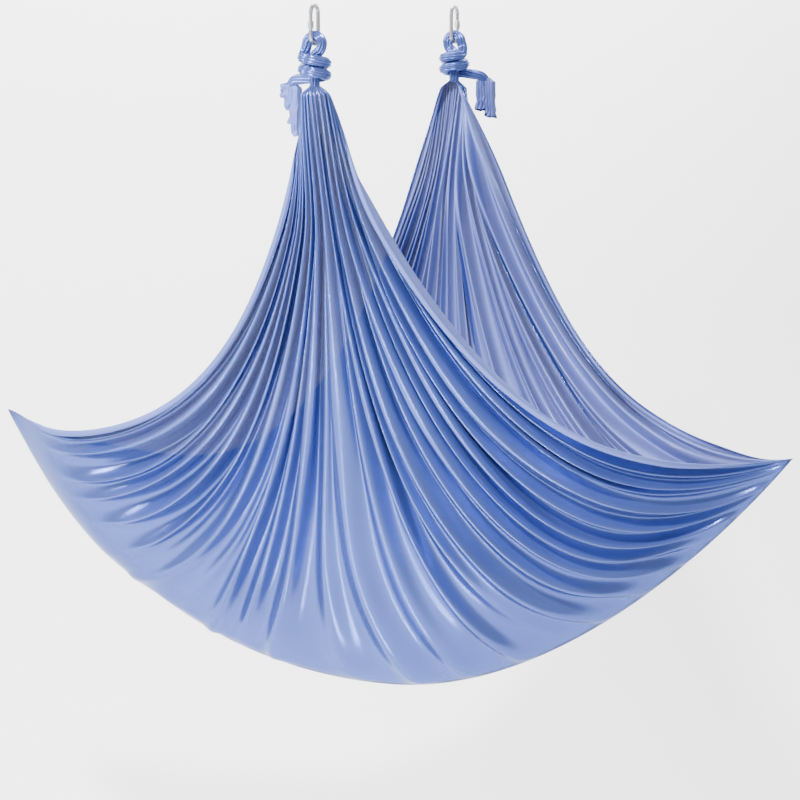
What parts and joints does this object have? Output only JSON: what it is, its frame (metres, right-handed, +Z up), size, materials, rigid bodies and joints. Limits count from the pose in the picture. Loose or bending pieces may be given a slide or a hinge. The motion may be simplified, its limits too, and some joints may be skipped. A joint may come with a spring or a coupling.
{
  "type": "aerial hammock",
  "caption": "Wide satin cloth hammock, gathered and knotted at each end onto a screw lock carabiner, draped open for aerial yoga.",
  "frame": {"origin": "midway between the two hanging points, at the height where each carabiner's crown bears on what holds it", "axes": "+X from the left tip of the cloth to the right tip as pictured, +Y from the front knot to the rear knot, +Z up"},
  "size_m": [2.3519, 1.0472, 1.8614],
  "materials": {
    "carabiner_steel": "zinc plated, satin",
    "pin_steel": "plain turned and drawn steel",
    "satin_cloth": "periwinkle blue nylon tricot, satin outside and matt inside"
  },
  "bodies": {
    "front_carabiner": {"front_carabiner_body": "carabiner_steel"},
    "front_gate": {"front_gate": "carabiner_steel", "front_pivot_pin": "pin_steel", "front_latch_pin": "pin_steel", "front_gate_plunger": "pin_steel", "front_gate_spring": "pin_steel"},
    "front_sleeve": {"front_locking_sleeve": "carabiner_steel"},
    "hammock": {"hammock_cloth": "satin_cloth", "front_knot": "satin_cloth", "rear_knot": "satin_cloth", "front_tail": "satin_cloth", "rear_tail": "satin_cloth"},
    "rear_carabiner": {"rear_carabiner_body": "carabiner_steel"},
    "rear_gate": {"rear_gate": "carabiner_steel", "rear_pivot_pin": "pin_steel", "rear_latch_pin": "pin_steel", "rear_gate_plunger": "pin_steel", "rear_gate_spring": "pin_steel"},
    "rear_sleeve": {"rear_locking_sleeve": "carabiner_steel"}
  },
  "joints": [
    {"name": "hammock_swing", "type": "hinge", "parent": "front_carabiner", "child": "hammock", "pos_m": [0, 0, -0.0935], "axis": [0, 1, 0], "range_deg": [-40, 40]},
    {"name": "rear_carabiner_turn", "type": "hinge", "parent": "hammock", "child": "rear_carabiner", "pos_m": [0, 0.459, -0.0935], "axis": [0, 1, 0], "range_deg": [-40, 40]},
    {"name": "front_gate_open", "type": "hinge", "parent": "front_carabiner", "child": "front_gate", "pos_m": [0, -0.481, -0.065], "axis": [-1, 0, 0], "range_deg": [0, 25], "stiffness_Nm_per_rad": 0.3, "springref_deg": -28.65},
    {"name": "rear_gate_open", "type": "hinge", "parent": "rear_carabiner", "child": "rear_gate", "pos_m": [0, 0.481, -0.065], "axis": [1, 0, 0], "range_deg": [0, 25], "stiffness_Nm_per_rad": 0.3, "springref_deg": -28.65},
    {"name": "front_sleeve_up", "type": "slide", "parent": "front_gate", "child": "front_sleeve", "axis": [0, 0, 1], "range_m": [0, 0.016]},
    {"name": "rear_sleeve_up", "type": "slide", "parent": "rear_gate", "child": "rear_sleeve", "axis": [0, 0, 1], "range_m": [0, 0.016]}
  ],
  "couplings": [
    {"joint": "rear_carabiner_turn", "follows": "hammock_swing", "ratio": -1}
  ]
}
